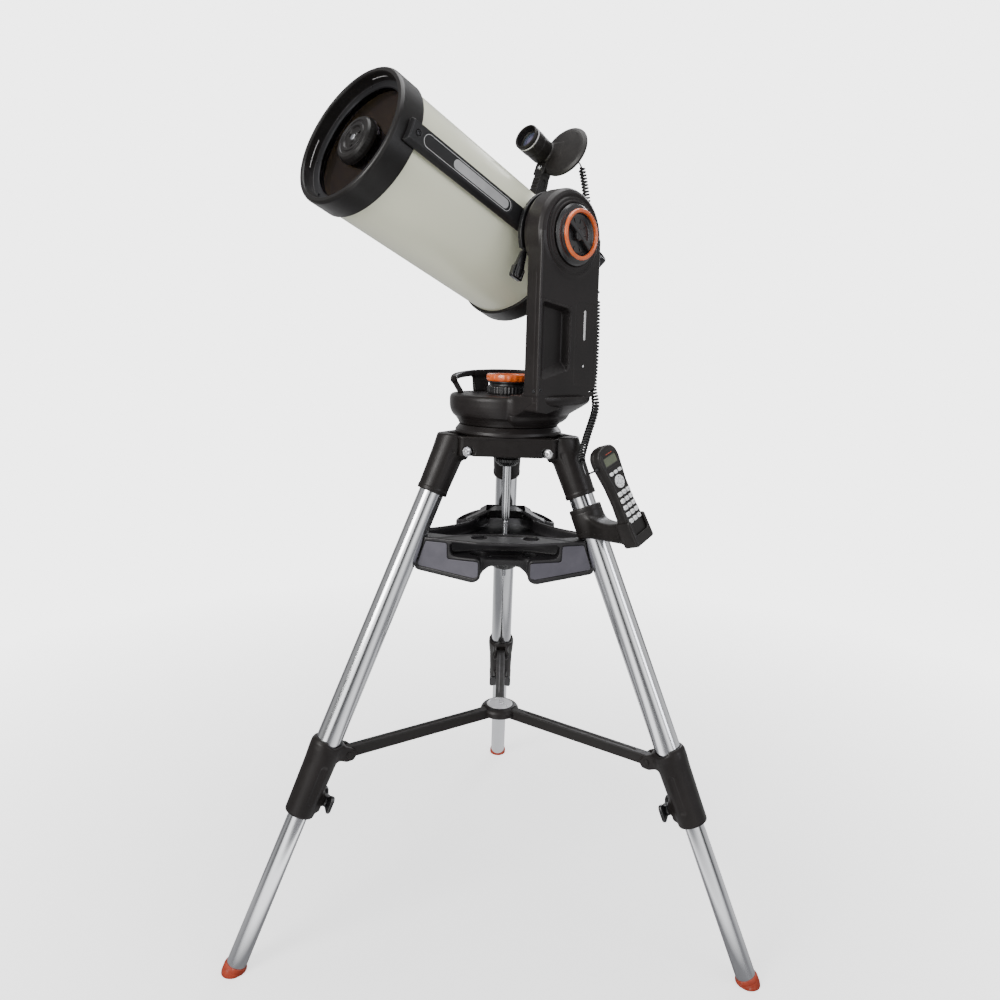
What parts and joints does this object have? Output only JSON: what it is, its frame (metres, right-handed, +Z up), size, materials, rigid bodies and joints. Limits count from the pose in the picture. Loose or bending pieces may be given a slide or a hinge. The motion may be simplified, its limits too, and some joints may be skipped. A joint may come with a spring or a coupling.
{
  "type": "schmidt cassegrain telescope",
  "caption": "Catadioptric telescope with a short closed tube on a single-arm powered alt-azimuth mount, steel field tripod, accessory tray, alignment camera and wired hand control.",
  "frame": {"origin": "on the azimuth axis at ground level, under the tripod head", "axes": "+Z up along the azimuth axis; -Y is the side the front web of the accessory tray faces, with one leg pointing to +Y; the tube at rest points to -X -Y, raised 22.2 degrees"},
  "size_m": [1.0164, 0.9082, 1.685],
  "materials": {
    "tube_steel": "polished stainless steel with drawing marks",
    "foot_rubber": "red-orange moulded rubber",
    "tripod_casting": "cast aluminium, black textured powder coat, satin",
    "knob_plastic": "black moulded plastic",
    "brace_paint": "black satin paint",
    "bolt_steel": "bright zinc plate",
    "rod_steel": "turned steel, black knob at the top",
    "badge_metal": "silver disc, blank",
    "tray_plastic": "black glass-filled nylon, fine grain",
    "orange_rim": "orange satin rim",
    "mount_paint": "cast aluminium, charcoal metallic paint, satin",
    "saddle_metal": "black hard anodised",
    "tube_paint": "pale warm grey-green pearl paint",
    "cell_paint": "black satin paint",
    "corrector_glass": "coated optical glass",
    "mirror_glass": "aluminised front surface",
    "baffle_paint": "flat black",
    "knob_rubber": "ribbed black rubber",
    "anodised_black": "black anodised",
    "camera_plastic": "black plastic",
    "handset_plastic": "black plastic",
    "key_rubber": "backlit pale rubber keys",
    "cable_rubber": "coiled black cable sheath"
  },
  "bodies": {
    "stand": {"tripod_head": "tripod_casting", "leg_hinge_bolts": "bolt_steel", "brace_hub": "brace_paint", "brace_hub_cap": "badge_metal", "accessory_tray": "tray_plastic", "az_base": "mount_paint", "hand_control_holder": "handset_plastic", "leg_1_socket": "tripod_casting", "leg_1_upper_tube": "tube_steel", "leg_1_collar": "tripod_casting", "brace_arm_1": "brace_paint", "leg_2_socket": "tripod_casting", "leg_2_upper_tube": "tube_steel", "leg_2_collar": "tripod_casting", "brace_arm_2": "brace_paint", "leg_3_socket": "tripod_casting", "leg_3_upper_tube": "tube_steel", "leg_3_collar": "tripod_casting", "brace_arm_3": "brace_paint"},
    "mount": {"az_housing": "mount_paint", "carry_handle": "mount_paint", "fork_arm": "mount_paint", "hand_control_cable": "cable_rubber", "camera_cable": "cable_rubber"},
    "tube": {"dovetail_saddle": "saddle_metal", "dovetail_bar": "saddle_metal", "optical_tube": "tube_paint", "front_cell": "cell_paint", "corrector_plate": "corrector_glass", "secondary_cell": "cell_paint", "secondary_mirror": "mirror_glass", "baffle_tube": "baffle_paint", "rear_cell": "cell_paint", "visual_back": "anodised_black", "finder_bracket": "anodised_black", "camera_unit": "camera_plastic"},
    "azimuth_clutch": {"az_knob": "knob_plastic", "az_knob_ring": "orange_rim"},
    "altitude_clutch": {"alt_knob": "knob_plastic", "alt_knob_ring": "orange_rim"},
    "saddle_clamp": {"saddle_knob": "knob_plastic"},
    "focuser": {"focus_knob": "knob_rubber"},
    "primary": {"primary_mirror": "mirror_glass"},
    "mirror_lock_1": {"mirror_lock_knob_1": "knob_rubber"},
    "mirror_lock_2": {"mirror_lock_knob_2": "knob_rubber"},
    "diagonal": {"star_diagonal": "anodised_black"},
    "eyepiece_body": {"eyepiece": "anodised_black"},
    "rod": {"centre_rod": "rod_steel"},
    "tray_nut": {"tray_knob": "knob_plastic"},
    "handset": {"hand_control": "handset_plastic"},
    "keypad": {"hand_control_keys": "key_rubber"},
    "leg_1_lower": {"leg_1_lower_tube": "tube_steel", "leg_1_foot": "foot_rubber"},
    "leg_1_clamp": {"leg_1_clamp_knob": "knob_plastic"},
    "leg_2_lower": {"leg_2_lower_tube": "tube_steel", "leg_2_foot": "foot_rubber"},
    "leg_2_clamp": {"leg_2_clamp_knob": "knob_plastic"},
    "leg_3_lower": {"leg_3_lower_tube": "tube_steel", "leg_3_foot": "foot_rubber"},
    "leg_3_clamp": {"leg_3_clamp_knob": "knob_plastic"}
  },
  "joints": [
    {"name": "leg_1_extension", "type": "slide", "parent": "stand", "child": "leg_1_lower", "axis": [-0.3453, 0.1994, 0.9171], "range_m": [-0.15, 0.25], "stiffness_N_per_m": 150000},
    {"name": "leg_1_clamp_turn", "type": "hinge", "parent": "stand", "child": "leg_1_clamp", "pos_m": [0.33934, -0.19592, 0.28851], "axis": [-0.7942, 0.4585, -0.3987], "range_deg": [-180, 180]},
    {"name": "leg_2_extension", "type": "slide", "parent": "stand", "child": "leg_2_lower", "axis": [0.3453, 0.1994, 0.9171], "range_m": [-0.15, 0.25], "stiffness_N_per_m": 150000},
    {"name": "leg_2_clamp_turn", "type": "hinge", "parent": "stand", "child": "leg_2_clamp", "pos_m": [-0.33934, -0.19592, 0.28851], "axis": [0.7942, 0.4585, -0.3987], "range_deg": [-180, 180]},
    {"name": "leg_3_extension", "type": "slide", "parent": "stand", "child": "leg_3_lower", "axis": [0, -0.3987, 0.9171], "range_m": [-0.15, 0.25], "stiffness_N_per_m": 150000},
    {"name": "leg_3_clamp_turn", "type": "hinge", "parent": "stand", "child": "leg_3_clamp", "pos_m": [0, 0.39184, 0.28851], "axis": [0, -0.9171, -0.3987], "range_deg": [-180, 180]},
    {"name": "azimuth_turn", "type": "hinge", "parent": "stand", "child": "mount", "pos_m": [0, 0, 1.05], "axis": [0, 0, 1], "continuous": true, "deforming": ["hand_control_cable"]},
    {"name": "altitude_tilt", "type": "hinge", "parent": "mount", "child": "tube", "pos_m": [0, 0, 1.406], "axis": [-0.7152, 0.6989, 0], "range_deg": [-42.2, 67.8], "deforming": ["camera_cable"]},
    {"name": "azimuth_clutch_turn", "type": "hinge", "parent": "mount", "child": "azimuth_clutch", "pos_m": [0, 0, 1.1], "axis": [0, 0, 1], "range_deg": [-180, 180]},
    {"name": "altitude_clutch_turn", "type": "hinge", "parent": "mount", "child": "altitude_clutch", "pos_m": [0.12158, -0.11882, 1.406], "axis": [0.7152, -0.6989, 0], "range_deg": [-180, 180]},
    {"name": "saddle_clamp_turn", "type": "hinge", "parent": "tube", "child": "saddle_clamp", "pos_m": [0.01269, -0.11292, 1.34893], "axis": [0.2641, 0.2702, 0.9259], "range_deg": [-180, 180]},
    {"name": "focus_turn", "type": "hinge", "parent": "tube", "child": "focuser", "pos_m": [-0.02462, 0.17717, 1.33028], "axis": [0.6471, 0.6622, -0.3778], "range_deg": [-720, 720]},
    {"name": "primary_focus_travel", "type": "slide", "parent": "tube", "child": "primary", "axis": [-0.6471, -0.6622, 0.3778], "range_m": [-0.0015, 0.0015]},
    {"name": "mirror_lock_1_turn", "type": "hinge", "parent": "tube", "child": "mirror_lock_1", "pos_m": [0.07119, 0.0702, 1.30689], "axis": [0.6471, 0.6622, -0.3778], "range_deg": [-180, 180]},
    {"name": "mirror_lock_2_turn", "type": "hinge", "parent": "tube", "child": "mirror_lock_2", "pos_m": [0.0717, 0.14193, 1.43347], "axis": [0.6471, 0.6622, -0.3778], "range_deg": [-180, 180]},
    {"name": "diagonal_turn", "type": "hinge", "parent": "tube", "child": "diagonal", "pos_m": [0.07178, 0.16288, 1.33799], "axis": [0.6471, 0.6622, -0.3778], "range_deg": [-45, 45]},
    {"name": "eyepiece_draw", "type": "slide", "parent": "diagonal", "child": "eyepiece_body", "axis": [0.6925, -0.3031, 0.6547], "range_m": [0, 0.03]},
    {"name": "rod_turn", "type": "hinge", "parent": "stand", "child": "rod", "pos_m": [0, 0, 0.9], "axis": [0, 0, 1], "range_deg": [-180, 180]},
    {"name": "tray_nut_turn", "type": "hinge", "parent": "stand", "child": "tray_nut", "pos_m": [0, 0, 0.73], "axis": [0, 0, 1], "range_deg": [-180, 180]},
    {"name": "handset_lift", "type": "slide", "parent": "stand", "child": "handset", "axis": [-0.4226, 0, 0.9063], "range_m": [0, 0.06]},
    {"name": "keypad_press", "type": "slide", "parent": "handset", "child": "keypad", "axis": [-0.6519, 0.6947, -0.304], "range_m": [0, 0.001], "stiffness_N_per_m": 150}
  ],
  "couplings": [
    {"joint": "focus_turn", "follows": "primary_focus_travel", "rad_per_m": 8377.6}
  ]
}
